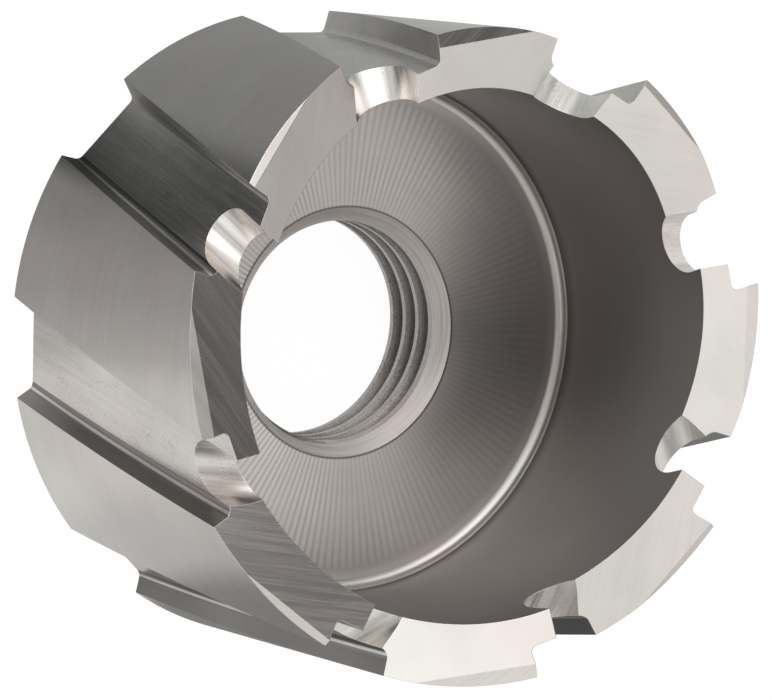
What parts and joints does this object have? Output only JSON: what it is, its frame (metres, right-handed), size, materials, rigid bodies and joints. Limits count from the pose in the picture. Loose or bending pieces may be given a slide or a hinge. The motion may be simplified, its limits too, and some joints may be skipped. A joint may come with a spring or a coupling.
{
  "type": "annular cutter",
  "caption": "Cup-shaped annular cutter head: helical fluted teeth with milled gullets and ground ends around a hollow cup, on a base with a central internally threaded bore.",
  "frame": {"origin": "centre of the back face, on the axis", "axes": "+Z along the cutter's axis, from the back face towards the teeth; +X at the cutting corner of one tooth"},
  "size_m": [0.051, 0.051, 0.0303],
  "materials": {
    "ground_steel": "ground and turned bare tool steel with fine machining lines"
  },
  "bodies": {
    "root": {"annular_cutter": "ground_steel"}
  },
  "joints": []
}
